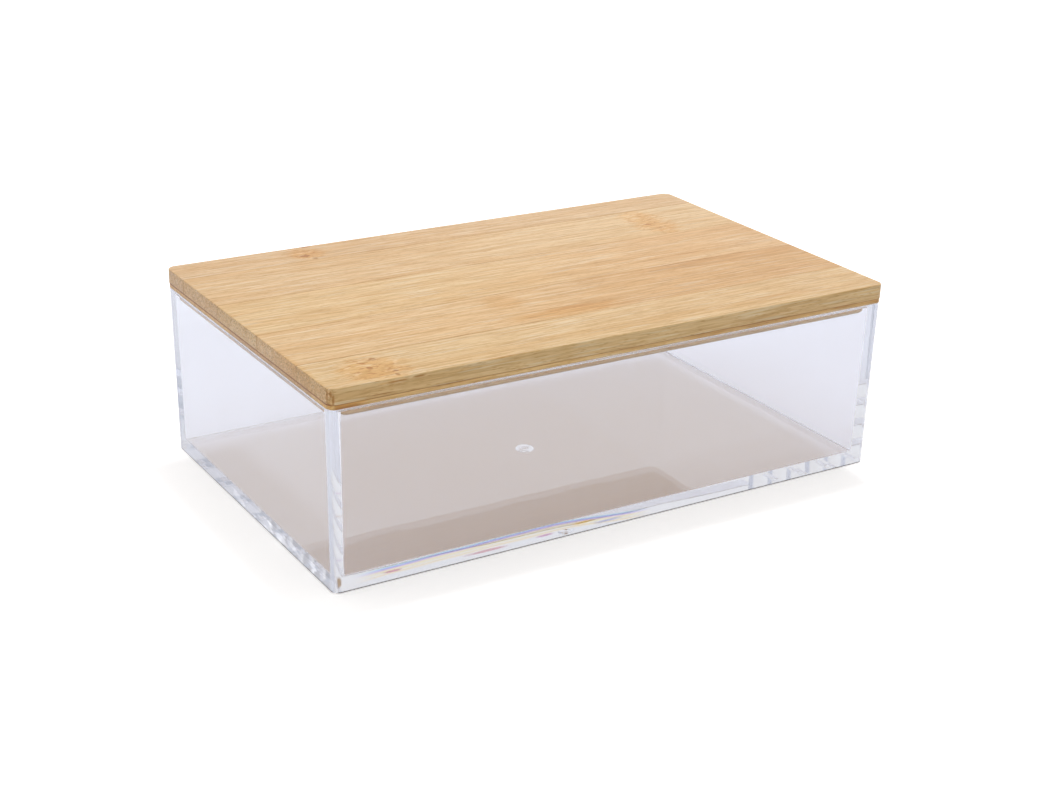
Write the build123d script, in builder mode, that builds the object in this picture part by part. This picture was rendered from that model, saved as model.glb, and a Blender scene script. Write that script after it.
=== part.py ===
from build123d import *
from math import atan, degrees
import os

# Clear storage box with a bamboo lid that lifts off. The box is one moulded shell, centred on the
# origin with its base at Z zero and its long side along X. The lid is a board of two plies, each
# made of strips glued edge to edge along X. Its rebated underside drops inside the rim.

# The box, in millimetres
box_length = 150.0
box_width = 92.4
rim_height = 43.0
wall = 3.2
floor_thickness = 3.0
draft_inset = 0.64
outer_corner_radius = 1.9
inner_corner_radius = 0.5
floor_edge_radius = 0.45
base_edge_radius = 0.15
rim_outer_radius = 0.15
rim_inner_chamfer = 1.3

# The mark that the moulding gate leaves under the floor
gate_radius = 2.3
gate_depth = 0.4
gate_nub_radius = 0.9
gate_nub_height = 0.25

# The lid
top_ply_thickness = 3.65
lower_ply_thickness = 3.65
lid_corner_radius = 2.1
lid_top_edge_radius = 0.2
lid_side_edge_chamfer = 0.15
lip_height = 1.05
lip_inset = 0.1
plug_clearance = 0.3
plug_corner_radius = 2.4
plug_edge_chamfer = 0.4

# Where the seams between the strips run, as shares of the lid's width from its back edge
top_seam_shares = (0.122, 0.355, 0.599, 0.826)
lower_seam_shares = (0.195, 0.43, 0.665, 0.9)

# How far a cut runs past the face that it opens
overrun = 2.0

# Places that follow from those sizes
lid_length = box_length
lid_width = box_width
glue_line = rim_height + lip_height
plug_depth = lower_ply_thickness - lip_height
plug_inset = wall + plug_clearance
draft_angle = degrees(atan(draft_inset / rim_height))
floor_inset = wall + draft_inset * (rim_height - floor_thickness) / rim_height

os.makedirs("parts", exist_ok=True)


# Box: a tapered block with rounded upright corners, hollowed from the rim to the floor
with BuildPart() as clear_box:
    with BuildSketch():
        RectangleRounded(
            box_length - 2 * draft_inset, box_width - 2 * draft_inset, outer_corner_radius
        )
    extrude(amount=rim_height, taper=-draft_angle)
    fillet(clear_box.edges().group_by(Axis.Z)[0], base_edge_radius)
    fillet(clear_box.edges().group_by(Axis.Z)[-1], rim_outer_radius)

    with BuildSketch(Plane.XY.offset(floor_thickness)):
        RectangleRounded(
            box_length - 2 * floor_inset, box_width - 2 * floor_inset, inner_corner_radius
        )
    extrude(
        amount=rim_height - floor_thickness + overrun, taper=-draft_angle, mode=Mode.SUBTRACT
    )
    floor_edges = clear_box.edges().filter_by_position(Axis.Z, floor_thickness, floor_thickness)
    fillet(floor_edges, floor_edge_radius)
    rim_face = clear_box.faces().sort_by(Axis.Z)[-1]
    chamfer(rim_face.inner_wires()[0].edges(), rim_inner_chamfer)

    with BuildSketch():
        Circle(gate_radius)
    extrude(amount=gate_depth, mode=Mode.SUBTRACT)
    with BuildSketch(Plane.XY.offset(gate_depth)):
        Circle(gate_nub_radius)
    extrude(amount=-gate_nub_height)
clear_box.part.label = "clear_box"
export_step(clear_box.part, "parts/clear_box.step")


# Upper ply: the full outline of the lid, with its top edge eased
with BuildPart() as top_ply:
    with BuildSketch(Plane.XY.offset(glue_line)):
        RectangleRounded(lid_length, lid_width, lid_corner_radius)
    extrude(amount=top_ply_thickness)
    fillet(top_ply.edges().group_by(Axis.Z)[-1], lid_top_edge_radius)
    chamfer(top_ply.edges().group_by(Axis.Z)[0], lid_side_edge_chamfer)


# Lower ply: a thin lip that rests on the rim, and the plug that fills the mouth of the box
with BuildPart() as lower_ply:
    with BuildSketch(Plane.XY.offset(rim_height)):
        RectangleRounded(
            lid_length - 2 * lip_inset, lid_width - 2 * lip_inset, lid_corner_radius - lip_inset
        )
    extrude(amount=lip_height)
    with BuildSketch(Plane.XY.offset(rim_height)):
        RectangleRounded(
            box_length - 2 * plug_inset, box_width - 2 * plug_inset, plug_corner_radius
        )
    extrude(amount=-plug_depth)
    chamfer(lower_ply.edges().group_by(Axis.Z)[0], plug_edge_chamfer)


def saw_into_strips(board, name, seam_shares, underside, thickness):
    """Cut a ply along its seams, from the back edge to the front, and write each strip."""
    back_edge = lid_width / 2
    for number, share in enumerate((*seam_shares, 1), start=1):
        front_edge = lid_width / 2 - share * lid_width
        with BuildPart() as strip:
            add(board.part)
            with BuildSketch(Plane.XY.offset(underside)):
                with Locations((0, (back_edge + front_edge) / 2)):
                    Rectangle(lid_length, back_edge - front_edge)
            extrude(amount=thickness, mode=Mode.INTERSECT)
        strip.part.label = f"{name}_{number}"
        export_step(strip.part, f"parts/{name}_{number}.step")
        back_edge = front_edge


saw_into_strips(top_ply, "lid_top_strip", top_seam_shares, glue_line, top_ply_thickness)
saw_into_strips(
    lower_ply, "lid_lower_strip", lower_seam_shares, rim_height - plug_depth, lower_ply_thickness
)
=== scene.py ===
from math import radians

import bmesh
import bpy
from mathutils import Euler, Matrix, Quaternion, Vector


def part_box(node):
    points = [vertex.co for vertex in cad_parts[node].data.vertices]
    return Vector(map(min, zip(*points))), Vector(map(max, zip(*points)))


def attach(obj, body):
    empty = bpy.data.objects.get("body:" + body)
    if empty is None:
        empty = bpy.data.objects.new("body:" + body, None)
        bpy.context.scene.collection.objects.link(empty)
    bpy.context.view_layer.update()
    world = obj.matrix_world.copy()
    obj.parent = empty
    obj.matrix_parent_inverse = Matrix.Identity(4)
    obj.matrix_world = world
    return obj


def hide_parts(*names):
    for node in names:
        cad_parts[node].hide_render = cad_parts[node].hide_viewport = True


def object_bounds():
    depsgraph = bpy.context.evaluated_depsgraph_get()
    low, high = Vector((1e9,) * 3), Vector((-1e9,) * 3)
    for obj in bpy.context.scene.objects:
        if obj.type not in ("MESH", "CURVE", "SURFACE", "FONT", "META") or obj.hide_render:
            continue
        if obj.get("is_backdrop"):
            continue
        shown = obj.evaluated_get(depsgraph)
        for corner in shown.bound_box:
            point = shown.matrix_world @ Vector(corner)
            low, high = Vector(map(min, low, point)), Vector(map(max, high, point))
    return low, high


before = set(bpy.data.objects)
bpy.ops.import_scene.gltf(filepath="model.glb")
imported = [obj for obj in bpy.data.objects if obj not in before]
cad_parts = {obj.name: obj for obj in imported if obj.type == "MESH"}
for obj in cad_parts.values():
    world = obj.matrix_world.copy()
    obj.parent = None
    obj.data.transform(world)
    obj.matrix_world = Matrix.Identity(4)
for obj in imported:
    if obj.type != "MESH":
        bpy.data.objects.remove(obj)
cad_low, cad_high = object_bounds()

MM = 0.001

# Camera: it looks down on the front left corner from about half a metre away, with a long lens
# and a slight roll. Its angles and distance were fitted to the straight edges of the box.
CAMERA_TURN, CAMERA_DROP, CAMERA_ROLL = radians(-31.683), radians(21.846), radians(1.367)
CAMERA_DISTANCE = 437.9 * MM
CAMERA_TARGET = Vector((-8.83, -16.36, 24.0)) * MM
PHOTO_WIDTH = 1054
FOCAL_PIXELS = 1821.8
FILM_WIDTH = 36
NEAREST = 10 * MM

camera_data = bpy.data.cameras.new("camera")
camera = bpy.data.objects.new("camera", camera_data)
bpy.context.scene.collection.objects.link(camera)
camera_data.sensor_width = FILM_WIDTH
camera_data.lens = FOCAL_PIXELS * FILM_WIDTH / PHOTO_WIDTH
camera_data.clip_start = NEAREST
camera.rotation_mode = "QUATERNION"
camera.rotation_quaternion = (
    Euler((radians(90) - CAMERA_DROP, 0, CAMERA_TURN)).to_quaternion()
    @ Quaternion((0, 0, 1), CAMERA_ROLL)
)
camera.location = CAMERA_TARGET + CAMERA_DISTANCE * (camera.rotation_quaternion @ Vector((0, 0, 1)))
bpy.context.scene.camera = camera

# Light runs a long way inside the thick clear walls before it leaves them, so paths may be long.
LONGEST_PATH = 32

bpy.context.scene.view_settings.view_transform = "Standard"
bpy.context.scene.cycles.max_bounces = LONGEST_PATH
bpy.context.scene.cycles.transmission_bounces = LONGEST_PATH
bpy.context.scene.cycles.glossy_bounces = LONGEST_PATH

# Table: plain white paint. What the camera sees of it, straight on or through the plastic, is
# lifted a little by a painted glow, so that open table is white and the shade under the lid stays
# pale. Seen through the plastic, its paint is painted darker and cooler and its glow warmer:
# painted cool shade on the open table beyond the box, and painted warm light, as if bounced from
# the lid, in the shade under the lid.
TABLE_SIZE = 2.4
TABLE_GAP = 0.1 * MM
TABLE_PAINT = (0.90, 0.88, 0.87, 1)
PAINT_ROUGHNESS = 0.9
PAINT_SHINE = 0.1
TABLE_LIFT = (0.47, 0.47, 0.47, 1)
SHADED_PAINT_IN_PLASTIC = (0.48, 0.59, 0.735, 1)
LIFT_IN_PLASTIC = (0.455, 0.364, 0.286, 1)


def feed(tree, socket, source):
    """Give a socket a value of its own, or link it to another socket."""
    if isinstance(source, bpy.types.NodeSocket):
        tree.links.new(source, socket)
    else:
        socket.default_value = source


def reckon(tree, how, first, second=0.0):
    """The result of a sum, product or other operation on two values."""
    node = tree.nodes.new("ShaderNodeMath")
    node.operation = how
    feed(tree, node.inputs[0], first)
    feed(tree, node.inputs[1], second)
    return node.outputs[0]


def mix_colours(tree, share, under, over, how="MIX"):
    """The colour under, with the colour over laid on it by its share."""
    node = tree.nodes.new("ShaderNodeMix")
    node.data_type = "RGBA"
    node.blend_type = how
    sockets = {socket.identifier: socket for socket in node.inputs}
    feed(tree, sockets["Factor_Float"], share)
    feed(tree, sockets["A_Color"], under)
    feed(tree, sockets["B_Color"], over)
    return next(socket for socket in node.outputs if socket.identifier == "Result_Color")


def new_finish(name):
    """A new material, its node tree and its main shader."""
    finish = bpy.data.materials.new(name)
    finish.use_nodes = True
    return finish, finish.node_tree, finish.node_tree.nodes["Principled BSDF"]


def ray_is(tree, *kinds):
    """A socket that is 1 for rays of any of these kinds."""
    paths = tree.nodes.new("ShaderNodeLightPath")
    found = paths.outputs[f"Is {kinds[0]} Ray"]
    for kind in kinds[1:]:
        found = reckon(tree, "MAXIMUM", found, paths.outputs[f"Is {kind} Ray"])
    return found


bpy.ops.object.select_all(action="DESELECT")
bpy.ops.mesh.primitive_plane_add(size=TABLE_SIZE, location=(0, 0, -TABLE_GAP))
table = bpy.context.object
table.name = "table"
table_white, tree, paint = new_finish("table_white")
paint.inputs["Roughness"].default_value = PAINT_ROUGHNESS
paint.inputs["Specular IOR Level"].default_value = PAINT_SHINE
# Painted light: seen through the plastic, the table is darker and cooler in the open and paler and
# warmer in the shade
through_plastic = ray_is(tree, "Glossy", "Transmission")
painted = mix_colours(tree, through_plastic, TABLE_PAINT, SHADED_PAINT_IN_PLASTIC)
feed(tree, paint.inputs["Base Color"], painted)
lift = mix_colours(tree, through_plastic, TABLE_LIFT, LIFT_IN_PLASTIC)
feed(tree, paint.inputs["Emission Color"], lift)
feed(tree, paint.inputs["Emission Strength"], ray_is(tree, "Camera", "Glossy", "Transmission"))
table.data.materials.append(table_white)
table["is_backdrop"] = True

# Studio light: a dim white room that is plain white to the camera and a cool pale grey in and
# through the plastic, a large soft lamp overhead, and a small lamp high at the back right, whose
# shadow edge shows on the table through the box.
ROOM_LEVEL = 0.45
ROOM_WHITE = (1, 1, 1, 1)
ROOM_DARK = (0.62, 0.66, 0.72, 1)
ROOM_BACK = (0.525, 0.851, 0)
ROOM_DARK_FROM = -0.5
ROOM_WHITE_FROM = 0.3
SOFT_PLACE, SOFT_SIZE, SOFT_POWER = Vector((-0.1, 0.15, 1.3)), 1.6, 7
KEY_PLACE, KEY_SIZE, KEY_POWER = Vector((0.33, 0.33, 1.6)), 0.15, 8

room = bpy.data.worlds.new("room")
bpy.context.scene.world = room
room.use_nodes = True
tree = room.node_tree
room_light = tree.nodes["Background"]
way = tree.nodes.new("ShaderNodeTexCoord")
behind = tree.nodes.new("ShaderNodeVectorMath")
behind.operation = "DOT_PRODUCT"
feed(tree, behind.inputs[0], way.outputs["Generated"])
feed(tree, behind.inputs[1], ROOM_BACK)
shade = tree.nodes.new("ShaderNodeMapRange")
shade.interpolation_type = "SMOOTHSTEP"
feed(tree, shade.inputs["Value"], behind.outputs["Value"])
shade.inputs["From Min"].default_value = ROOM_DARK_FROM
shade.inputs["From Max"].default_value = ROOM_WHITE_FROM
room_colour = mix_colours(tree, shade.outputs["Result"], ROOM_DARK, ROOM_WHITE)
in_plastic = ray_is(tree, "Glossy", "Transmission")
feed(tree, room_light.inputs["Color"], mix_colours(tree, in_plastic, ROOM_WHITE, room_colour))
seen = ray_is(tree, "Camera", "Glossy", "Transmission")
brightness = reckon(tree, "MULTIPLY_ADD", seen, 1 - ROOM_LEVEL)
brightness.node.inputs[2].default_value = ROOM_LEVEL
feed(tree, room_light.inputs["Strength"], brightness)


def hang_lamp(name, place, size, power):
    """A square lamp that faces the box and lights it, but isn't seen or mirrored in it."""
    lamp_data = bpy.data.lights.new(name, "AREA")
    lamp_data.size = size
    lamp_data.energy = power
    lamp = bpy.data.objects.new(name, lamp_data)
    lamp.location = place
    lamp.rotation_euler = (-place).to_track_quat("-Z", "Y").to_euler()
    bpy.context.scene.collection.objects.link(lamp)
    lamp.visible_camera = False
    lamp.visible_glossy = False
    lamp.visible_transmission = False


hang_lamp("soft_lamp", SOFT_PLACE, SOFT_SIZE, SOFT_POWER)
hang_lamp("key_lamp", KEY_PLACE, KEY_SIZE, KEY_POWER)

# Box shell: one piece of clear plastic, injection moulded, so it is a little wider at the rim than
# at the base and has the mark of the gate under its floor. Its upright corners are rounded outside
# and nearly sharp inside, and it stands on its bare floor.
WALL = 3.2 * MM
FLOOR = 3.0 * MM
DRAFT_INSET = 0.64 * MM
OUTER_CORNER = 2.54 * MM
INNER_EDGE = 0.4 * MM
BASE_EDGE = 0.15 * MM
RIM_ROUND = 0.15 * MM
RIM_LEAD_IN = 1.3 * MM
RIM_RELIEF = 0.03 * MM
GATE_RADIUS = 2.3 * MM
GATE_DEPTH = 0.4 * MM
GATE_SLOPE = 0.12 * MM
NUB_RADIUS = 0.9 * MM
NUB_HEIGHT = 0.25 * MM
CORNER_STEPS = 12
EDGE_STEPS = 4
GATE_STEPS = 48
NEAR = 0.01 * MM
SMOOTH_ANGLE = radians(32)
OUTLINE_SHARE = 0.7
FLAT_FACE_WEIGHT = 100


def choose(kind, test):
    """In edit mode, select only the vertices, edges or faces that pass the test."""
    bpy.ops.mesh.select_mode(type=kind)
    bpy.ops.mesh.select_all(action="DESELECT")
    piece = bpy.context.edit_object
    mesh = bmesh.from_edit_mesh(piece.data)
    for part in mesh.edges if kind == "EDGE" else mesh.faces:
        part.select_set(test(part))
    bmesh.update_edit_mesh(piece.data)


def lies_at(height):
    """A test for edges and faces that lie flat at a height."""
    return lambda part: all(abs(v.co.z - height) < NEAR for v in part.verts)


def take(*pieces):
    """Select these pieces and nothing else, with the first as the active one."""
    bpy.ops.object.select_all(action="DESELECT")
    for piece in pieces:
        piece.select_set(True)
    bpy.context.view_layer.objects.active = pieces[0]


def blank(name, half_length, half_width, height):
    """A flat sheet at a height, centred on the box and left in edit mode."""
    bpy.ops.object.select_all(action="DESELECT")
    bpy.ops.mesh.primitive_plane_add(size=2, location=(0, 0, height))
    piece = bpy.context.object
    piece.name = name
    piece.scale = (half_length, half_width, 1)
    bpy.ops.object.transform_apply(location=True, rotation=True, scale=True)
    bpy.ops.object.mode_set(mode="EDIT")
    bpy.ops.mesh.select_all(action="SELECT")
    return piece


low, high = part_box("clear_box")
rim_half_length, rim_half_width = cad_high.x, cad_high.y
rim = high.z - RIM_RELIEF

shell = blank("box_shell", rim_half_length, rim_half_width, rim)
bpy.ops.mesh.bevel(offset=OUTER_CORNER, segments=CORNER_STEPS, affect="VERTICES")
bpy.ops.mesh.select_all(action="SELECT")
bpy.ops.mesh.inset(thickness=DRAFT_INSET, depth=-rim)
bpy.ops.mesh.select_all(action="SELECT")
bpy.ops.mesh.flip_normals()
choose("EDGE", lies_at(0))
bpy.ops.mesh.bevel(offset=BASE_EDGE, segments=EDGE_STEPS, affect="EDGES")
bpy.ops.object.mode_set(mode="OBJECT")

cavity_depth = rim - FLOOR
cavity = blank("cavity", rim_half_length - WALL, rim_half_width - WALL, rim)
bpy.ops.mesh.inset(thickness=DRAFT_INSET * cavity_depth / rim, depth=-cavity_depth)
choose("EDGE", lambda edge: not edge.is_boundary)
bpy.ops.mesh.bevel(offset=INNER_EDGE, segments=EDGE_STEPS, affect="EDGES")
bpy.ops.object.mode_set(mode="OBJECT")

take(shell, cavity)
bpy.ops.object.join()
bpy.ops.object.mode_set(mode="EDIT")
choose("EDGE", lambda edge: edge.is_boundary)
bpy.ops.mesh.bridge_edge_loops()


def outside(edge):
    """Whether an edge of the rim is on the outline of the box, not on the mouth."""
    line_x = rim_half_length - WALL * OUTLINE_SHARE
    line_y = rim_half_width - WALL * OUTLINE_SHARE
    return all(abs(v.co.x) > line_x or abs(v.co.y) > line_y for v in edge.verts)


def round_the_mouth(edge):
    """Whether an edge of the rim is on the mouth of the box."""
    line_x, line_y = rim_half_length - WALL + NEAR, rim_half_width - WALL + NEAR
    return all(abs(v.co.x) < line_x and abs(v.co.y) < line_y for v in edge.verts)


choose("EDGE", lambda edge: lies_at(rim)(edge) and outside(edge))
bpy.ops.mesh.bevel(offset=RIM_ROUND, segments=EDGE_STEPS, affect="EDGES")
choose("EDGE", lambda edge: lies_at(rim)(edge) and round_the_mouth(edge))
bpy.ops.mesh.bevel(offset=RIM_LEAD_IN, segments=1, affect="EDGES")
bpy.ops.mesh.select_all(action="SELECT")
bpy.ops.mesh.normals_make_consistent(inside=False)
bpy.ops.object.mode_set(mode="OBJECT")

bpy.ops.object.select_all(action="DESELECT")
bpy.ops.mesh.primitive_circle_add(
    vertices=GATE_STEPS, radius=GATE_RADIUS, fill_type="NGON", location=(0, 0, -GATE_DEPTH)
)
gate = bpy.context.object
bpy.ops.object.transform_apply(location=True)
bpy.ops.object.mode_set(mode="EDIT")
bpy.ops.mesh.select_all(action="SELECT")
bpy.ops.mesh.extrude_region_move(TRANSFORM_OT_translate={"value": (0, 0, GATE_DEPTH)})
bpy.ops.mesh.select_all(action="SELECT")
bpy.ops.mesh.normals_make_consistent(inside=False)
choose("FACE", lies_at(0))
bpy.ops.mesh.inset(thickness=GATE_SLOPE, depth=GATE_DEPTH)
bpy.ops.mesh.inset(thickness=GATE_RADIUS - NUB_RADIUS - GATE_SLOPE)
bpy.ops.mesh.inset(thickness=GATE_SLOPE, depth=-NUB_HEIGHT)
bpy.ops.object.mode_set(mode="OBJECT")
take(shell)
gate_mark = shell.modifiers.new("gate_mark", "BOOLEAN")
gate_mark.object = gate
bpy.ops.object.modifier_apply(modifier="gate_mark")
bpy.data.objects.remove(gate)

bpy.ops.object.mode_set(mode="EDIT")
choose("EDGE", lambda edge: lies_at(0)(edge) or lies_at(FLOOR)(edge))
bpy.ops.mesh.mark_sharp()
bpy.ops.object.mode_set(mode="OBJECT")
bpy.ops.object.shade_smooth_by_angle(angle=SMOOTH_ANGLE)
flat_faces = shell.modifiers.new("flat_faces", "WEIGHTED_NORMAL")
flat_faces.keep_sharp = True
flat_faces.weight = FLAT_FACE_WEIGHT
bpy.ops.object.modifier_apply(modifier="flat_faces")


# The plastic is clear with a faint cool cast. Light that has turned too often inside the walls is
# taken as a pale glow, and the light of the lamps goes straight through to the table.
PLASTIC_TINT = (0.95, 0.95, 0.975, 1)
PLASTIC_IOR = 1.59
DEPTH_TINT = (0, 0.06, 0.24, 1)
DEPTH_PER_METRE = 1.8
SHADE_TINT = (0.96, 0.96, 0.975, 1)
GLOW = (0.86, 0.87, 0.92, 1)
GLOW_AFTER = 22
FLOW_RELIEF = 0.010 * MM
FLOW_REPEATS = (90, 90, 90)

# The outer face of a wall lies less than this inside the outline of the rim
FACE_FROM, FACE_FULL = 1.0 * MM, 0.8 * MM

# Rainbow streaks that moulding stress leaves along the foot of the front wall, from its bottom
# edge up, with the height at which each colour is at its strongest
STREAK_REACH = 4.4 * MM
STREAK_TOP_FADE = 0.9
STREAKS = (
    (0.00, (1, 1, 1, 1)),
    (0.36, (0.90, 0.94, 1, 1)),
    (0.44, (1, 0.93, 0.82, 1)),
    (0.50, (1, 0.70, 0.28, 1)),
    (0.56, (0.93, 0.95, 0.90, 1)),
    (0.66, (1, 0.83, 0.36, 1)),
    (0.73, (1, 0.80, 0.62, 1)),
    (0.79, (0.42, 0.25, 0.78, 1)),
    (0.85, (0.24, 0.42, 1, 1)),
    (0.90, (0.52, 0.92, 1, 1)),
    (0.95, (1, 1, 1, 1)),
)
STREAK_LEFT, STREAK_RIGHT = -71 * MM, 10 * MM
STREAK_FADE = 9 * MM
WANDER, WANDER_REPEATS = 0.3, (45, 0, 140)
RIGHT_DIP, RIGHT_DIP_FROM, RIGHT_DIP_TO = 0.40, -20 * MM, 9 * MM
LEFT_DIP, LEFT_DIP_FROM, LEFT_DIP_TO = 0.12, -60 * MM, -70 * MM
PATCH_REPEATS, PATCH_RANGE = (60, 0, 420), (0.24, 0.44)
UNBROKEN_RANGE = (0.62, 0.74)

# Painted contact shadow: a dark line where the walls meet the table
CONTACT_SHADE_HEIGHT = 0.40 * MM
CONTACT_SHADE_TONE = (0.02, 0.015, 0.011, 1)

# Pale flow marks at the foot of the left wall. Their paleness is painted light: a faint even glow
# over the foot, with brighter specks of glow in it
LEFT_FOOT_TOP, LEFT_FOOT_FADE = 3.1 * MM, 0.3 * MM
LEFT_FOOT_BACK, LEFT_FOOT_FRONT = 25 * MM, -10 * MM
LEFT_FOOT_GLOW = 0.07
FLOW_MARK_GLOW, MARK_REPEATS, MARK_RANGE = 0.24, (0, 190, 420), (0.52, 0.62)

# The rough ring round the nub of the gate mark, drawn as a pale painted glow in place of the light
# on its frosted face
FROST_GLOW_SHARE = 0.85
FROST_GLOW = (0.84, 0.85, 0.88, 1)
FROST_EDGE = 0.1 * MM
FROST_REPEATS, FROST_RANGE = (500, 500, 500), (0.44, 0.54)

# Outlines of spots
UNEVEN_REPEATS = (160, 700, 700)
SPOT_CORE = 0.45
RAGGED_SCALE = 3


def in_mm(*lengths):
    """Lengths given in millimetres."""
    return tuple(length * MM for length in lengths)


# Coloured spots in the streaks, the brown corner at the front left and the bars above it, each with
# its centre, its reach and its tone
FRONT_SPOTS = (
    (in_mm(-60.2, -45.6, 2.3), in_mm(3, 2, 0.35), (0.62, 0.20, 0.36, 1)),
    (in_mm(-36.5, -45.6, 1.5), in_mm(7, 2, 0.40), (0.70, 0.28, 0.30, 1)),
    (in_mm(-21.0, -45.6, 1.7), in_mm(3, 2, 0.40), (0.60, 0.24, 0.42, 1)),
    (in_mm(-11.0, -45.6, 2.6), in_mm(4, 2, 0.50), (1, 0.58, 0.14, 1)),
    (in_mm(-4.0, -45.6, 1.6), in_mm(5, 2, 0.40), (0.40, 0.45, 0.95, 1)),
    (in_mm(-73.2, -45.6, 2.7), in_mm(0.8, 2, 1.9), (0.30, 0.17, 0.08, 1)),
    (in_mm(-73.0, -45.9, 23.9), in_mm(1.2, 2, 0.22), (0.62, 0.42, 0.60, 1)),
    (in_mm(-73.0, -45.8, 18.5), in_mm(1.2, 2, 0.18), (0.75, 0.52, 0.38, 1)),
    (in_mm(-73.1, -45.7, 8.0), in_mm(1.1, 2, 0.30), (0.60, 0.52, 0.70, 1)),
)
FRONT_SPOT_RAGGED = 0.3


def either(tree, share, first, second):
    """A shader that is the first or the second, by a share of the second."""
    node = tree.nodes.new("ShaderNodeMixShader")
    feed(tree, node.inputs[0], share)
    feed(tree, node.inputs[1], first)
    feed(tree, node.inputs[2], second)
    return node.outputs[0]


def vector_math(tree, how, first, second=(0, 0, 0)):
    """The result of an operation on two vectors, or on the first alone."""
    node = tree.nodes.new("ShaderNodeVectorMath")
    node.operation = how
    feed(tree, node.inputs[0], first)
    feed(tree, node.inputs[1], second)
    return node.outputs["Value"] if how == "LENGTH" else node.outputs["Vector"]


def split(tree, vector):
    """The X, Y and Z of a vector."""
    node = tree.nodes.new("ShaderNodeSeparateXYZ")
    feed(tree, node.inputs[0], vector)
    return node.outputs


def cloud(tree, place, repeats, detail=2.0, roughness=0.5):
    """Soft noise from 0 to 1, with its repeats per metre along X, Y and Z."""
    node = tree.nodes.new("ShaderNodeTexNoise")
    feed(tree, node.inputs["Vector"], vector_math(tree, "MULTIPLY", place, repeats))
    node.inputs["Scale"].default_value = 1
    node.inputs["Detail"].default_value = detail
    node.inputs["Roughness"].default_value = roughness
    return node.outputs["Fac"]


def ramp(tree, value, low, high):
    """A share that rises smoothly from 0 to 1 as the value goes from low to high."""
    node = tree.nodes.new("ShaderNodeMapRange")
    node.interpolation_type = "SMOOTHSTEP"
    feed(tree, node.inputs["Value"], value)
    node.inputs["From Min"].default_value = low
    node.inputs["From Max"].default_value = high
    return node.outputs["Result"]


def times(tree, *shares):
    """The product of two or more shares."""
    product = shares[0]
    for share in shares[1:]:
        product = reckon(tree, "MULTIPLY", product, share)
    return product


def tint(tree, colour, share, tone):
    """Stain a colour with a tone, by its share."""
    return mix_colours(tree, share, colour, tone, "MULTIPLY")


def colour_scale(tree, value, stops):
    """The colour at a value between 0 and 1 on a scale of colours."""
    node = tree.nodes.new("ShaderNodeValToRGB")
    feed(tree, node.inputs["Fac"], value)
    scale = node.color_ramp.elements
    while len(scale) < len(stops):
        scale.new(1)
    for element, (position, colour) in zip(scale, stops):
        element.position = position
        element.color = colour
    return node.outputs["Color"]


def unevenness(tree, place):
    """Fine noise from about -0.5 to 0.5 that makes the outlines of spots ragged."""
    fine = cloud(tree, place, UNEVEN_REPEATS, detail=3.0, roughness=0.6)
    return reckon(tree, "SUBTRACT", fine, 0.5)


def spot(tree, place, uneven, centre, reach, ragged):
    """A share that is 1 at a centre and fades to 0 at its reach, with a ragged outline."""
    away = vector_math(tree, "SUBTRACT", place, centre)
    away = vector_math(tree, "DIVIDE", away, reach)
    away = vector_math(tree, "LENGTH", away)
    away = reckon(tree, "ADD", away, times(tree, uneven, RAGGED_SCALE * ragged))
    return ramp(tree, away, 1, SPOT_CORE)


clear_plastic, tree, plastic = new_finish("clear_plastic")
place = tree.nodes.new("ShaderNodeTexCoord").outputs["Object"]
at = split(tree, place)
from_middle = split(tree, vector_math(tree, "ABSOLUTE", place))
inside = tree.nodes.new("ShaderNodeNewGeometry").outputs["Backfacing"]
from_outside = reckon(tree, "SUBTRACT", 1, inside)

front_face = ramp(tree, at["Y"], -rim_half_width + FACE_FROM, -rim_half_width + FACE_FULL)
front_face = times(tree, front_face, from_outside)
wander = reckon(tree, "SUBTRACT", cloud(tree, place, WANDER_REPEATS, detail=1.0), 0.5)
right_dip = times(tree, ramp(tree, at["X"], RIGHT_DIP_FROM, RIGHT_DIP_TO), RIGHT_DIP)
left_dip = times(tree, ramp(tree, at["X"], LEFT_DIP_FROM, LEFT_DIP_TO), LEFT_DIP)
level = reckon(tree, "DIVIDE", at["Z"], STREAK_REACH)
level = reckon(tree, "ADD", level, times(tree, wander, WANDER))
level = reckon(tree, "ADD", level, right_dip)
level = reckon(tree, "ADD", level, left_dip)
patchy = ramp(tree, cloud(tree, place, PATCH_REPEATS), *PATCH_RANGE)
streak_share = times(
    tree,
    front_face,
    ramp(tree, at["X"], STREAK_LEFT, STREAK_LEFT + STREAK_FADE),
    ramp(tree, at["X"], STREAK_RIGHT, STREAK_RIGHT - STREAK_FADE),
    ramp(tree, at["Z"], STREAK_REACH, STREAK_TOP_FADE * STREAK_REACH),
    reckon(tree, "MAXIMUM", patchy, ramp(tree, level, *UNBROKEN_RANGE)),
)
colour = tint(tree, PLASTIC_TINT, streak_share, colour_scale(tree, level, STREAKS))
uneven = unevenness(tree, place)
for centre, reach, tone in FRONT_SPOTS:
    share = times(
        tree, front_face, spot(tree, place, uneven, centre, reach, FRONT_SPOT_RAGGED)
    )
    colour = tint(tree, colour, share, tone)

end_walls = ramp(tree, from_middle["X"], rim_half_length - FACE_FROM, rim_half_length - FACE_FULL)
long_walls = ramp(tree, from_middle["Y"], rim_half_width - FACE_FROM, rim_half_width - FACE_FULL)
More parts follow.
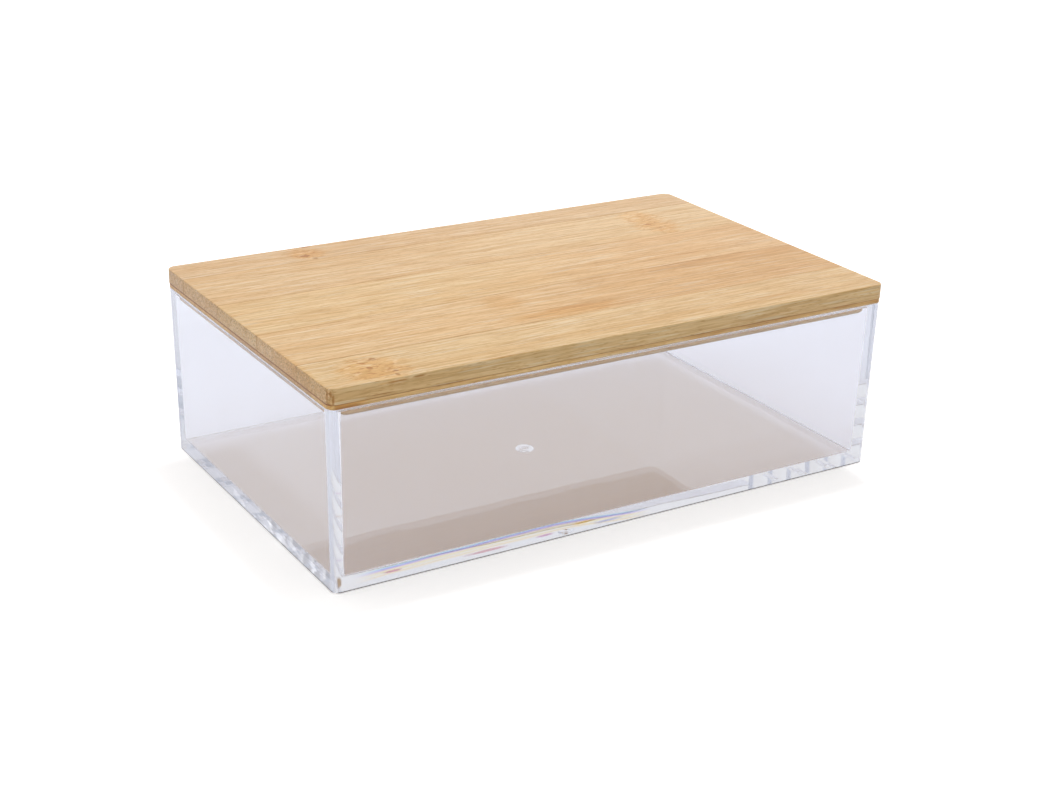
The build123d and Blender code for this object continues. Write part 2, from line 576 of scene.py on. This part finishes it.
# Painted contact shadow: the outer walls darken to a dark line at the table
contact_shade = times(
    tree,
    reckon(tree, "MAXIMUM", end_walls, long_walls),
    ramp(tree, at["Z"], CONTACT_SHADE_HEIGHT, 0.5 * CONTACT_SHADE_HEIGHT),
    from_outside,
)
colour = tint(tree, colour, contact_shade, CONTACT_SHADE_TONE)
feed(tree, plastic.inputs["Base Color"], colour)
plastic.inputs["Transmission Weight"].default_value = 1
plastic.inputs["Roughness"].default_value = 0.0
plastic.inputs["IOR"].default_value = PLASTIC_IOR
flow = tree.nodes.new("ShaderNodeBump")
flow.inputs["Distance"].default_value = FLOW_RELIEF
feed(tree, flow.inputs["Height"], cloud(tree, place, FLOW_REPEATS, detail=0.0))
feed(tree, plastic.inputs["Normal"], flow.outputs["Normal"])

# Painted light on the foot of the left wall: a faint glow, brighter in the flow marks
left_foot = times(
    tree,
    from_outside,
    ramp(tree, at["X"], -rim_half_length + FACE_FROM, -rim_half_length + FACE_FULL),
    ramp(tree, at["Y"], LEFT_FOOT_BACK, LEFT_FOOT_FRONT),
    ramp(tree, at["Z"], CONTACT_SHADE_HEIGHT, 1.6 * CONTACT_SHADE_HEIGHT),
    ramp(tree, at["Z"], LEFT_FOOT_TOP, LEFT_FOOT_TOP - LEFT_FOOT_FADE),
)
glowing_flow_marks = times(tree, ramp(tree, cloud(tree, place, MARK_REPEATS), *MARK_RANGE), FLOW_MARK_GLOW)
painted_foot_glow = times(tree, left_foot, reckon(tree, "ADD", glowing_flow_marks, LEFT_FOOT_GLOW))
plastic.inputs["Emission Color"].default_value = GLOW
feed(tree, plastic.inputs["Emission Strength"], painted_foot_glow)

# Painted light: the frosted ring glows pale instead of being lit
frost_glow_shader = tree.nodes.new("ShaderNodeEmission")
frost_glow_shader.inputs["Color"].default_value = FROST_GLOW
from_gate = vector_math(tree, "LENGTH", vector_math(tree, "MULTIPLY", place, (1, 1, 0)))
glowing_frost = times(
    tree,
    ramp(tree, from_gate, GATE_RADIUS + FROST_EDGE, GATE_RADIUS - FROST_EDGE),
    ramp(tree, from_gate, 0.9 * NUB_RADIUS, 1.5 * NUB_RADIUS),
    ramp(tree, at["Z"], FLOOR, 0.5 * FLOOR),
    ramp(tree, cloud(tree, place, FROST_REPEATS), *FROST_RANGE),
    FROST_GLOW_SHARE,
)
surface = either(tree, glowing_frost, plastic.outputs[0], frost_glow_shader.outputs[0])

lamp_light = tree.nodes.new("ShaderNodeBsdfTransparent")
lamp_light.inputs["Color"].default_value = SHADE_TINT
glow = tree.nodes.new("ShaderNodeEmission")
glow.inputs["Color"].default_value = GLOW
turns = tree.nodes.new("ShaderNodeLightPath").outputs["Ray Depth"]
surface = either(tree, reckon(tree, "GREATER_THAN", turns, GLOW_AFTER), surface, glow.outputs[0])
surface = either(tree, ray_is(tree, "Shadow"), surface, lamp_light.outputs[0])
feed(tree, tree.nodes["Material Output"].inputs["Surface"], surface)
depth = tree.nodes.new("ShaderNodeVolumeAbsorption")
depth.inputs["Color"].default_value = DEPTH_TINT
depth.inputs["Density"].default_value = DEPTH_PER_METRE
feed(tree, tree.nodes["Material Output"].inputs["Volume"], depth.outputs[0])
shell.data.materials.append(clear_plastic)
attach(shell, "box")
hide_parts("clear_box")

# Upper ply of the lid: five flat bamboo strips, glued edge to edge along the lid. The board is
# sanded flat, its corners are rounded and its top edge is eased, and it is sealed with satin oil.
LID_CORNER = 2.1 * MM
LID_TOP_EDGE = 0.22 * MM
LID_SIDE_EDGE = 0.15 * MM
LID_CORNER_STEPS = 10
LID_TOP_EDGE_STEPS = 5
LID_SIDE_EDGE_STEPS = 2
SEAM_EASE = 0.06 * MM
OILED_ROUGHNESS = 0.42
GRAIN_RELIEF = 0.02 * MM
GRAIN_STRENGTH = 0.6

# Layers of the grain, each with its repeats per metre, where it begins and is full, and its tone
SWAY, SWAY_REPEATS = 1.1 * MM, (14, 60, 60)
BAND_REPEATS, BAND_RANGE, BAND_TONE = (8, 190, 190), (0.38, 0.66), (0.95, 0.89, 0.79, 1)
SHEAF_REPEATS, SHEAF_RANGE, SHEAF_TONE = (26, 850, 850), (0.42, 0.62), (0.92, 0.87, 0.78, 1)
FIBRE_REPEATS, FIBRE_RANGE, FIBRE_TONE = (110, 2600, 2600), (0.42, 0.62), (0.82, 0.75, 0.62, 1)
PALE_REPEATS, PALE_RANGE, PALE_TONE = (75, 1900, 1900), (0.52, 0.70), (0.19, 0.20, 0.17, 1)
SPECK_REPEATS, SPECK_RANGE, SPECK_TONE = (330, 2300, 2300), (0.30, 0.12), (0.84, 0.73, 0.56, 1)
VEIN_REPEATS, VEIN_RANGE, VEIN_TONE = (16, 620, 620), (0.20, 0.10), (0.86, 0.68, 0.45, 1)
VEIN_PLACES, VEIN_PLACE_RANGE = (11, 210, 210), (0.53, 0.60)
DOT_REPEATS, DOT_RANGE, DOT_TONE = (20, 2100, 2100), (0.50, 0.25), (0.74, 0.69, 0.62, 1)
TONE_CHANGE = (-40 * MM, 50 * MM)
FACING_RANGE = (0.55, 0.80)
SIDE_TONE = (0.97, 0.98, 0.90, 1)

# Glue in the seams between strips and between the plies
SEAM_STAIN, SEAM_TONE = 0.3 * MM, (0.72, 0.56, 0.37, 1)
SEAM_REPEATS, SEAM_RANGE, SEAM_LEAST = (45, 300, 300), (0.35, 0.60), 0.2
GLUE_STAIN, GLUE_TONE = 0.14 * MM, (0.62, 0.46, 0.30, 1)
END_GLUE_TONE = (0.62, 0.42, 0.27, 1)

# Stains, dark marks and the knuckles of the cane, with painted glints in the knuckles: lighter
# specks standing in for light caught by the fibres
STAIN_TONE, STAIN_RAGGED = (0.92, 0.77, 0.50, 1), 0.35
MARK_TONE, MARK_RAGGED = (0.68, 0.50, 0.30, 1), 0.15
KNUCKLE_TONE, KNUCKLE_RAGGED = (0.97, 0.83, 0.60, 1), 0.5
CURL, CURL_REPEATS = 1.0 * MM, (220, 380, 380)
CURL_REACH, CURL_RAGGED = 1.6, 0.2
FLECK_REPEATS, FLECK_RANGE, FLECK_TONE = (520, 1900, 1900), (0.57, 0.65), (0.76, 0.55, 0.33, 1)
GLINT_REPEATS, GLINT_RANGE, GLINT_TONE = (300, 900, 900), (0.44, 0.36), (0.87, 0.66, 0.40, 1)
GLINT_SHARE = 0.5


def board(name, half_length, half_width, bottom, top, corner):
    """A flat board with rounded upright corners, left in edit mode."""
    piece = blank(name, half_length, half_width, bottom)
    bpy.ops.mesh.bevel(offset=corner, segments=LID_CORNER_STEPS, affect="VERTICES")
    bpy.ops.mesh.select_all(action="SELECT")
    bpy.ops.mesh.extrude_region_move(TRANSFORM_OT_translate={"value": (0, 0, top - bottom)})
    bpy.ops.mesh.select_all(action="SELECT")
    bpy.ops.mesh.normals_make_consistent(inside=False)
    return piece


def saw_strip(whole, node):
    """Copy a board, saw out the strip that a CAD node stands for and ease its sawn edges."""
    low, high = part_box(node)
    take(whole)
    bpy.ops.object.duplicate()
    strip = bpy.context.object
    strip.name = node + "_wood"
    board_edge = max(v.co.y for v in strip.data.vertices) - NEAR
    bpy.ops.object.mode_set(mode="EDIT")
    for side, place in ((-1, low.y), (1, high.y)):
        if abs(place) > board_edge:
            continue
        bpy.ops.mesh.select_all(action="SELECT")
        bpy.ops.mesh.bisect(
            plane_co=(0, place, 0), plane_no=(0, side, 0), use_fill=True, clear_outer=True
        )
        choose("EDGE", lambda edge: all(abs(v.co.y - place) < NEAR for v in edge.verts))
        bpy.ops.mesh.bevel(offset=SEAM_EASE, segments=1, affect="EDGES")
    bpy.ops.object.mode_set(mode="OBJECT")
    bpy.ops.object.shade_smooth_by_angle(angle=SMOOTH_ANGLE)
    return strip


def cells(tree, place, repeats):
    """The distance from the middle of the nearest cell, with cells per metre along X, Y and Z."""
    node = tree.nodes.new("ShaderNodeTexVoronoi")
    feed(tree, node.inputs["Vector"], vector_math(tree, "MULTIPLY", place, repeats))
    node.inputs["Scale"].default_value = 1
    return node.outputs["Distance"]


def away_from(tree, value, line):
    """How far a value is from a line, on either side."""
    return reckon(tree, "ABSOLUTE", reckon(tree, "SUBTRACT", value, line))


def bamboo(name, node_name, left_tone, right_tone, shift, knuckles=(), stains=(), marks=()):
    """Pressed bamboo with fibres along X: streaks on long faces and dots on end grain."""
    finish, tree, oiled = new_finish(name)
    place = tree.nodes.new("ShaderNodeTexCoord").outputs["Object"]
    at = split(tree, place)
    normal = tree.nodes.new("ShaderNodeNewGeometry").outputs["Normal"]
    facing = split(tree, vector_math(tree, "ABSOLUTE", normal))
    end_grain = ramp(tree, facing["X"], *FACING_RANGE)

    grain = vector_math(tree, "ADD", place, shift)
    sway = vector_math(tree, "MULTIPLY", (0, SWAY, SWAY), cloud(tree, grain, SWAY_REPEATS))
    grain = vector_math(tree, "ADD", grain, sway)
    uneven = unevenness(tree, place)
    swirl = 0
    for centre, reach in knuckles:
        wider = [CURL_REACH * length for length in reach]
        share = spot(tree, place, uneven, centre, wider, CURL_RAGGED)
        swirl = reckon(tree, "ADD", swirl, share)
    if knuckles:
        curl = cloud(tree, place, CURL_REPEATS)
        curl = vector_math(tree, "SUBTRACT", (0.5, 0.5, 0.5), curl)
        curl = vector_math(tree, "MULTIPLY", curl, (0, CURL, CURL))
        grain = vector_math(tree, "ADD", grain, vector_math(tree, "MULTIPLY", curl, swirl))

    colour = mix_colours(tree, ramp(tree, at["X"], *TONE_CHANGE), left_tone, right_tone)
    bands = cloud(tree, grain, BAND_REPEATS, detail=3.0)
    colour = tint(tree, colour, ramp(tree, bands, *BAND_RANGE), BAND_TONE)
    sheaves = cloud(tree, grain, SHEAF_REPEATS, detail=3.0, roughness=0.65)
    colour = tint(tree, colour, ramp(tree, sheaves, *SHEAF_RANGE), SHEAF_TONE)
    fibres = cloud(tree, grain, FIBRE_REPEATS, detail=3.0, roughness=0.65)
    colour = tint(tree, colour, ramp(tree, fibres, *FIBRE_RANGE), FIBRE_TONE)
    pale = ramp(tree, cloud(tree, grain, PALE_REPEATS), *PALE_RANGE)
    colour = mix_colours(tree, pale, colour, PALE_TONE, "SCREEN")
    specks = ramp(tree, cells(tree, grain, SPECK_REPEATS), *SPECK_RANGE)
    colour = tint(tree, colour, specks, SPECK_TONE)
    colour = tint(tree, colour, ramp(tree, facing["Y"], *FACING_RANGE), SIDE_TONE)
    veins = ramp(tree, cells(tree, grain, VEIN_REPEATS), *VEIN_RANGE)
    chosen = ramp(tree, cloud(tree, grain, VEIN_PLACES, detail=1.0), *VEIN_PLACE_RANGE)
    colour = tint(tree, colour, times(tree, veins, chosen), VEIN_TONE)
    dots = ramp(tree, cells(tree, grain, DOT_REPEATS), *DOT_RANGE)
    colour = tint(tree, colour, times(tree, dots, end_grain), DOT_TONE)

    low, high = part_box(node_name)
    for edge in (low.y, high.y):
        if abs(edge) > cad_high.y - NEAR:
            continue
        gap = away_from(tree, at["Y"], edge)
        patchy = ramp(tree, cloud(tree, place, SEAM_REPEATS), *SEAM_RANGE)
        patchy = reckon(tree, "MAXIMUM", patchy, SEAM_LEAST)
        colour = tint(tree, colour, times(tree, ramp(tree, gap, SEAM_STAIN, 0), patchy), SEAM_TONE)
    gap = away_from(tree, at["Z"], glue_line)
    colour = tint(tree, colour, ramp(tree, gap, GLUE_STAIN, 0.3 * GLUE_STAIN), GLUE_TONE)
    end_glue = times(tree, end_grain, ramp(tree, gap, 2.2 * GLUE_STAIN, GLUE_STAIN))
    colour = tint(tree, colour, end_glue, END_GLUE_TONE)

    for centre, reach, strength in stains:
        share = spot(tree, place, uneven, centre, reach, STAIN_RAGGED)
        colour = tint(tree, colour, times(tree, share, strength), STAIN_TONE)
    for centre, reach in marks:
        share = spot(tree, place, uneven, centre, reach, MARK_RAGGED)
        colour = tint(tree, colour, share, MARK_TONE)
    flecks = ramp(tree, cloud(tree, grain, FLECK_REPEATS), *FLECK_RANGE)
    glints = ramp(tree, cloud(tree, grain, GLINT_REPEATS), *GLINT_RANGE)
    for centre, reach in knuckles:
        knuckle = spot(tree, place, uneven, centre, reach, KNUCKLE_RAGGED)
        colour = tint(tree, colour, knuckle, KNUCKLE_TONE)
        # Painted highlight: lighter glints in the knuckles
        glinting = times(tree, knuckle, glints, GLINT_SHARE)
        colour = mix_colours(tree, glinting, colour, GLINT_TONE)
        colour = tint(tree, colour, times(tree, knuckle, flecks), FLECK_TONE)
    feed(tree, oiled.inputs["Base Color"], colour)
    oiled.inputs["Roughness"].default_value = OILED_ROUGHNESS

    bump = tree.nodes.new("ShaderNodeBump")
    bump.inputs["Distance"].default_value = GRAIN_RELIEF
    bump.inputs["Strength"].default_value = GRAIN_STRENGTH
    feed(tree, bump.inputs["Height"], reckon(tree, "SUBTRACT", 1, fibres))
    feed(tree, oiled.inputs["Normal"], bump.outputs["Normal"])
    return finish


low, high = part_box("lid_top_strip_1")
glue_line, lid_top = low.z, high.z
top_board = board("top_board", cad_high.x, cad_high.y, glue_line, lid_top, LID_CORNER)
choose("EDGE", lies_at(lid_top))
bpy.ops.mesh.bevel(offset=LID_TOP_EDGE, segments=LID_TOP_EDGE_STEPS, affect="EDGES")
choose("EDGE", lies_at(glue_line))
bpy.ops.mesh.bevel(offset=LID_SIDE_EDGE, segments=LID_SIDE_EDGE_STEPS, affect="EDGES")
bpy.ops.object.mode_set(mode="OBJECT")

# The tones of each strip at its left and right, from the back strip to the front one
TOP_TONES = {
    1: ((0.775, 0.530, 0.300, 1), (0.790, 0.545, 0.312, 1)),
    2: ((0.795, 0.548, 0.302, 1), (0.832, 0.593, 0.338, 1)),
    3: ((0.820, 0.585, 0.318, 1), (0.800, 0.523, 0.268, 1)),
    4: ((0.822, 0.572, 0.313, 1), (0.725, 0.435, 0.185, 1)),
    5: ((0.790, 0.560, 0.300, 1), (0.785, 0.545, 0.285, 1)),
}
TOP_SHIFT = (0.31, 0.17)


def on_top(x, y):
    """A place on top of the lid, given in millimetres."""
    return (x * MM, y * MM, lid_top)


# Each knuckle and mark has a centre and a reach, and each stain a strength as well
KNUCKLES = {
    1: [(on_top(-40, 40), in_mm(5.5, 6, 3))],
    2: [(on_top(53.5, 25), in_mm(7, 15, 3))],
    5: [(on_top(-61, -39), in_mm(10, 9, 4))],
}
LEFT_END_STAIN = (in_mm(-75, -32, 46.4), in_mm(1.5, 15, 5), 0.5)
STAINS = {
    3: [(on_top(-23, -8), in_mm(6, 0.35, 1), 1)],
    4: [
        (on_top(-3, -27), in_mm(19, 3.4, 3), 0.9),
        (on_top(-15.6, -15), in_mm(6, 6, 3), 0.5),
        LEFT_END_STAIN,
    ],
    5: [LEFT_END_STAIN],
}
MARKS = {
    1: [
        (on_top(-38.0, 45.7), in_mm(1.8, 0.8, 1)),
        (on_top(-41.2, 38.8), in_mm(1.6, 1.2, 1)),
        (on_top(-39.6, 36.2), in_mm(0.9, 1.3, 1)),
    ],
    5: [
        (on_top(-61.8, -38.6), in_mm(0.9, 1.1, 1)),
        (on_top(-59.0, -34.0), in_mm(1.0, 1.2, 1)),
        (on_top(-57.5, -42.2), in_mm(0.7, 1.0, 1)),
        (on_top(-58.2, -44.5), in_mm(0.7, 1.0, 1)),
        (in_mm(-74.8, -44.9, 45.9), in_mm(0.25, 0.3, 2.2)),
        (in_mm(-74.3, -45.6, 46.4), in_mm(0.4, 0.4, 1.2)),
        (in_mm(-73.9, -45.9, 45.2), in_mm(0.4, 0.4, 1.8)),
        (in_mm(-59, -46.2, 46.9), in_mm(3.4, 1, 0.22)),
        (in_mm(-54, -46.2, 47.1), in_mm(2, 1, 0.3)),
        (in_mm(-62.5, -46.2, 44.7), in_mm(4.5, 1, 0.16)),
    ],
}
for number, (left_tone, right_tone) in TOP_TONES.items():
    node = f"lid_top_strip_{number}"
    strip = saw_strip(top_board, node)
    shift = (TOP_SHIFT[0] * number, TOP_SHIFT[1] * number, 0)
    finish = bamboo(
        f"bamboo_top_{number}", node, left_tone, right_tone, shift,
        KNUCKLES.get(number, ()), STAINS.get(number, ()), MARKS.get(number, ()),
    )
    strip.data.materials.append(finish)
    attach(strip, "lid")
    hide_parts(node)
bpy.data.objects.remove(top_board)

# Lower ply of the lid: five more strips, glued under the upper ply. Its edge is milled back to a
# thin lip that rests on the rim, and what is left below the lip drops into the mouth of the box.
LIP_INSET = 0.1 * MM
LIP_CORNER = 2.0 * MM
PLUG_CORNER = 2.4 * MM
PLUG_INSET = WALL + 0.3 * MM
PLUG_EDGE = 0.4 * MM

low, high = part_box("lid_lower_strip_3")
plug_bottom = low.z
lip_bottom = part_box("clear_box")[1].z
lip_half_length, lip_half_width = cad_high.x - LIP_INSET, cad_high.y - LIP_INSET
plug_half_length, plug_half_width = cad_high.x - PLUG_INSET, cad_high.y - PLUG_INSET

lower_board = board(
    "lower_board", lip_half_length, lip_half_width, lip_bottom, glue_line, LIP_CORNER
)
choose("FACE", lies_at(lip_bottom))
bpy.ops.mesh.delete(type="ONLY_FACE")
bpy.ops.object.mode_set(mode="OBJECT")
plug = board("plug", plug_half_length, plug_half_width, plug_bottom, lip_bottom, PLUG_CORNER)
choose("EDGE", lies_at(plug_bottom))
bpy.ops.mesh.bevel(offset=PLUG_EDGE, segments=1, affect="EDGES")
choose("FACE", lies_at(lip_bottom))
bpy.ops.mesh.delete(type="ONLY_FACE")
bpy.ops.object.mode_set(mode="OBJECT")
take(lower_board, plug)
bpy.ops.object.join()
bpy.ops.object.mode_set(mode="EDIT")
choose("EDGE", lambda edge: edge.is_boundary)
bpy.ops.mesh.bridge_edge_loops()
bpy.ops.mesh.select_all(action="SELECT")
bpy.ops.mesh.normals_make_consistent(inside=False)
bpy.ops.object.mode_set(mode="OBJECT")

# The tones of each strip at its left and right, and the stain on the lip at the near corner
LOWER_TONES = {
    1: ((0.84, 0.56, 0.28, 1), (0.85, 0.57, 0.29, 1)),
    2: ((0.88, 0.60, 0.31, 1), (0.86, 0.57, 0.29, 1)),
    3: ((0.76, 0.50, 0.29, 1), (0.86, 0.58, 0.29, 1)),
    4: ((0.74, 0.49, 0.265, 1), (0.88, 0.60, 0.30, 1)),
    5: ((0.90, 0.63, 0.315, 1), (0.91, 0.65, 0.345, 1)),
}
LOWER_SHIFT = (0.23, 0.11, 0.4)
LIP_STAINS = {
    5: [(in_mm(-72.5, -45, 43.6), in_mm(9, 4, 1.6), 0.8)],
}

# A faint glow on the sides of the plug, for the light that the clear wall carries to them
PLUG_GLOW = (0.10, 0.062, 0.042, 1)
UPRIGHT_RANGE = (0.6, 0.3)

for number, (left_tone, right_tone) in LOWER_TONES.items():
    node = f"lid_lower_strip_{number}"
    strip = saw_strip(lower_board, node)
    shift = (LOWER_SHIFT[0] * number, LOWER_SHIFT[1] * number, LOWER_SHIFT[2])
    finish = bamboo(
        f"bamboo_lower_{number}", node, left_tone, right_tone, shift,
        stains=LIP_STAINS.get(number, ()),
    )
    tree = finish.node_tree
    oiled = tree.nodes["Principled BSDF"]
    at = split(tree, tree.nodes.new("ShaderNodeTexCoord").outputs["Object"])
    normal = split(tree, tree.nodes.new("ShaderNodeNewGeometry").outputs["Normal"])
    upright = ramp(tree, reckon(tree, "ABSOLUTE", normal["Z"]), *UPRIGHT_RANGE)
    under_lip = ramp(tree, at["Z"], lip_bottom, lip_bottom - NEAR)
    oiled.inputs["Emission Color"].default_value = PLUG_GLOW
    feed(tree, oiled.inputs["Emission Strength"], times(tree, upright, under_lip))
    strip.data.materials.append(finish)
    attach(strip, "lid")
    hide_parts(node)
bpy.data.objects.remove(lower_board)

low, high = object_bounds()
